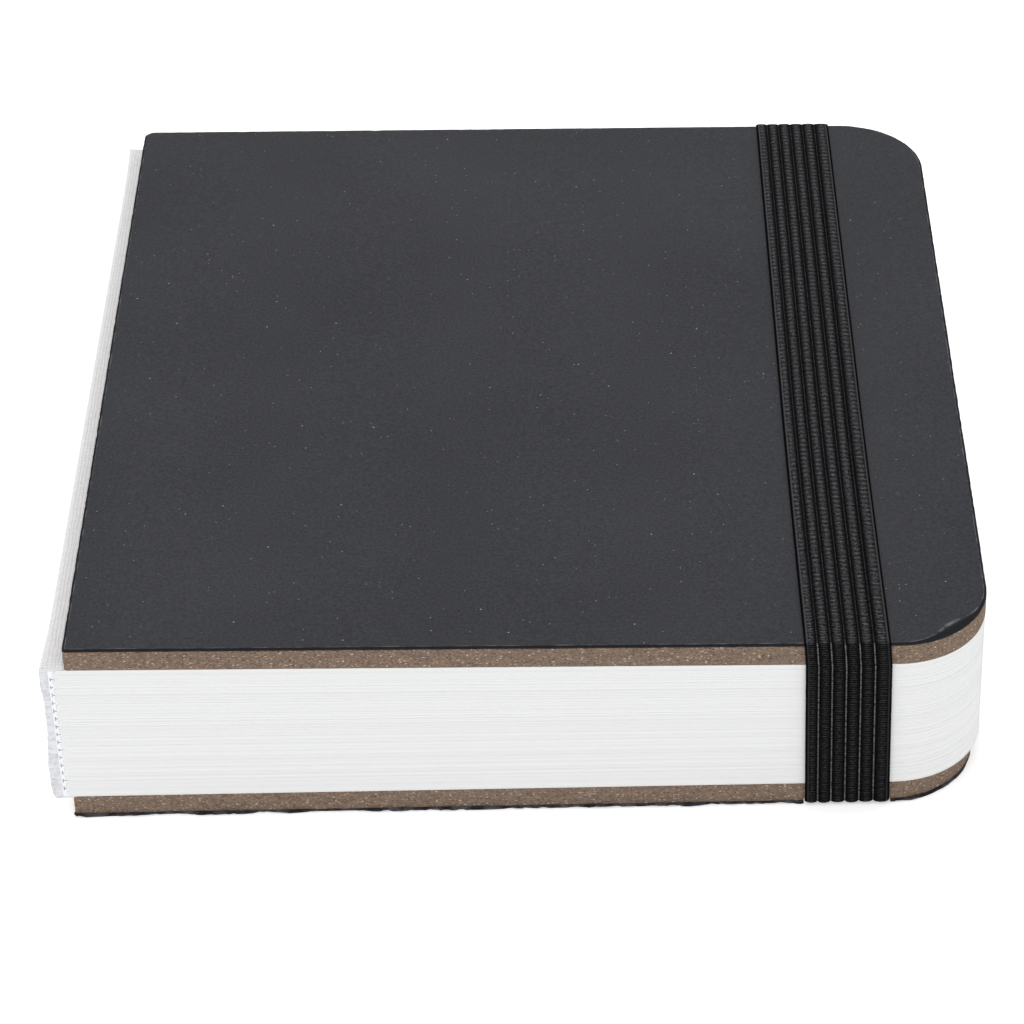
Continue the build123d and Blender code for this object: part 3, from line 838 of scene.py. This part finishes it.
# Painted highlight on the ribs' crowns: full on the top, 0.3 on the stood-up sides.
crown_top_light = add_node(tree, "MapRange", {"Value": upright, "To Min": 1.0, "To Max": 0.3}).outputs[0]
# Painted highlight: only the ribs' crowns are lit; the flanks and grooves stay near black.
high = add_node(tree, "Math", {0: rib, 1: 7.0}, operation="POWER").outputs[0]
painted_crown_light = hair
for factor in (high, patchy, crown_top_light):
    painted_crown_light = add_node(tree, "Math", {0: painted_crown_light, 1: factor}, operation="MULTIPLY").outputs[0]
dark = add_node(tree, "Mix", {"Factor": painted_crown_light, 6: linear("#050505"), 7: linear("#747478")},
                data_type="RGBA").outputs[2]
colour = add_node(tree, "Mix", {"Factor": pale, 6: dark, 7: linear("#77777a")},
                  data_type="RGBA").outputs[2]
bump = add_node(tree, "Bump", {"Height": hair, "Distance": 0.05 * mm, "Strength": 0.7})
link_finish(tree, shader, colour, bump)

# The profile: six ribs, each a flattened half ellipse, 0.27 mm high on the face and 0.06 mm on
# the back, with straight sides between.
face_base, face_rise, back_base, back_rise, side_crown = -0.02, 0.27, -0.19, 0.06, 0.3
rib_edges = np.array((0.0,) + groove_shares + (1.0,)) * band_width
across_rib = np.linspace(-1, 1, 8)[:-1]
rib_middle, half_rib = (rib_edges[1:] + rib_edges[:-1]) / 2, np.diff(rib_edges) / 2
across = np.append((rib_middle[:, None] + across_rib * half_rib[:, None]).ravel(), band_width)
crown = np.append(np.tile(np.sqrt(1 - 0.96 * across_rib ** 2), len(half_rib)), 0.0)
rib_number = np.searchsorted(rib_edges[1:-1], across)
face_side = np.stack([across - band_width / 2, face_base + face_rise * crown], -1)
back_side = np.stack([across - band_width / 2, back_base - back_rise * crown], -1)[::-1]
edge_turn = np.linspace(face_base, back_base, 5)[1:-1]
right_side = np.stack([np.full(3, band_width / 2), edge_turn], -1)
left_side = np.stack([np.full(3, -band_width / 2), edge_turn[::-1]], -1)
band_profile = np.concatenate([face_side, right_side, back_side, left_side])
profile_rib = np.concatenate([rib_number, [len(groove_shares)] * 3, rib_number[::-1], [0] * 3])
profile_crown = np.concatenate([crown, [side_crown] * 3, crown[::-1], [side_crown] * 3])
band_step, edge_thinning, thinned_reach = 0.17, 0.55, 2.5
thread_ridge, thread_spread = 0.08, 0.01       # how much a binding thread raises and widens a rib
cover_top = block_high + (paper_high / np.cos(swell)) - (band_x - spine_x) * np.tan(swell)


def rounded_path(corners, radii):
    """A line through corners, each replaced by an arc of its radius: the arc starts and ends at
    radius times tan(half the turn) from the corner. Returned as points band_step apart, with each
    one's distance along the line."""
    corners = np.array(corners, float)
    pieces = [corners[:1]]
    for i in range(1, len(corners) - 1):
        into = corners[i] - corners[i - 1]
        out = corners[i + 1] - corners[i]
        into, out = into / np.linalg.norm(into), out / np.linalg.norm(out)
        angle = np.arctan2(into[0] * out[1] - into[1] * out[0], into @ out)
        reach = radii[i - 1] * np.tan(abs(angle) / 2)
        begin = corners[i] - into * reach
        normal = np.array([-into[1], into[0]]) * np.sign(angle)
        centre = begin + normal * radii[i - 1]
        sweep = np.linspace(0, angle, 13)
        arm = begin - centre
        pieces.append(centre + np.stack([arm[0] * np.cos(sweep) - arm[1] * np.sin(sweep),
                                         arm[0] * np.sin(sweep) + arm[1] * np.cos(sweep)], -1))
    line = np.concatenate(pieces + [corners[-1:]])
    length = np.concatenate([[0], np.cumsum(np.linalg.norm(np.diff(line, axis=0), axis=1))])
    keep = np.concatenate([[True], np.diff(length) > 1e-9])
    line, length = line[keep], length[keep]
    even = np.linspace(0, length[-1], int(length[-1] / band_step) + 1)
    return np.stack([np.interp(even, length, line[:, i]) for i in (0, 1)], -1), even


def band_along(name, path, length, lean, drift, upright):
    """The ribbed profile carried along a path of (y, z) points: each profile point is moved across
    the band in x and out along the path's left-hand normal, ridged by the binding threads, which
    alternate between neighbouring ribs, and thinned by up to 55% where it is pulled over the
    cover's edges, a bell curve 2.5 mm wide. lean lowers it towards the fore-edge on the cover,
    drift moves it in x, and upright is 1 where it stands on end."""
    ahead = np.gradient(path, axis=0)
    ahead /= np.linalg.norm(ahead, axis=1)[:, None]
    normal = np.stack([-ahead[:, 1], ahead[:, 0]], -1)
    beat = np.cos(np.pi * (np.arange(len(path))[:, None] + profile_rib[None, :]))
    to_edge = np.abs(np.abs(path[:, :1]) - end_y) + np.abs(path[:, 1:] - cover_top)
    thinned = 1 - edge_thinning * bell(to_edge, thinned_reach)
    ridged = band_profile[None, :, 1] * (1 + thread_ridge * beat * profile_crown)
    offset = (ridged + band_thickness / 2) * thinned - band_thickness / 2
    x = band_x + drift[:, None] + band_profile[None, :, 0] * (1 + thread_spread * beat)
    y = path[:, :1] + normal[:, :1] * offset
    z = path[:, 1:] + normal[:, 1:] * offset - lean[:, None] * (x - band_x) * np.tan(swell)
    points, faces = ring_loft(np.stack([x, y, z], -1))
    u = np.repeat(band_profile[None, :, 0] + band_width / 2, len(path), 0)
    v = np.repeat(length[:, None], len(band_profile), 1)
    return new_piece(name, points, faces, braid, uv=np.stack([u, v], -1).reshape(-1, 2), sharp=60,
                     values={"upright": np.repeat(upright, len(band_profile)),
                             "rib_height": np.tile(profile_crown, len(path))})


# The loop goes up one end, over the cover and down the other. Near its near end it drifts towards
# the fore-edge. Each end goes on under the book, through its slot and along its glued tail.
leg_air, inner_bend, slot_bend = 0.1, 0.15, 0.4
outer_y = end_y + leg_air + band_thickness / 2
bend_radius, bend_z = inner_bend + band_thickness / 2, band_air + band_thickness + inner_bend
leg_middle, tail_middle = band_air + band_thickness / 2, tail_z + band_thickness / 2
strand_z = cover_top + band_air + band_thickness / 2
loop_path, loop_length = rounded_path(
    [(outer_y, bend_z), (outer_y, strand_z), (-outer_y, strand_z), (-outer_y, bend_z)],
    [bend_radius, bend_radius])
loop_lean = np.clip((loop_path[:, 1] - bend_z) / (strand_z - bend_z - 1.0), 0, 1)
loop_path, loop_lean = loop_path[::-1], loop_lean[::-1]
# The drift is given at three heights, and dies away 10 mm from the middle of the cover.
loop_drift = np.interp(loop_path[:, 1], [bend_z, 19, strand_z], [near_drift, 0.45, 0.25])
loop_drift *= np.clip((-loop_path[:, 0] - 10) / 42, 0, 1) ** 1.5
loop_upright = np.clip((np.abs(loop_path[:, 0]) - end_y + 0.1) / 0.3, 0, 1)
elastic_loop = band_along("elastic_loop", loop_path, loop_length, loop_lean, loop_drift,
                          loop_upright)
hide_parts("elastic_band")
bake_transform(elastic_loop)
for end_name, side_y in (("near", -1), ("far", 1)):
    end_path, end_length = rounded_path(
        [(side_y * (slot_y - tail_length), tail_middle), (side_y * slot_y, tail_middle),
         (side_y * slot_y, leg_middle), (side_y * outer_y, leg_middle), (side_y * outer_y, bend_z)],
        [slot_bend, slot_bend, bend_radius])
    still = np.zeros(len(end_path))
    end_drift = still + (near_drift if side_y < 0 else 0.0)
    elastic_end = band_along(f"elastic_{end_name}_tail", end_path, end_length, still, end_drift,
                             still + 1)
    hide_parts(f"elastic_end_{end_name}")
    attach(elastic_end, "rear_cover")
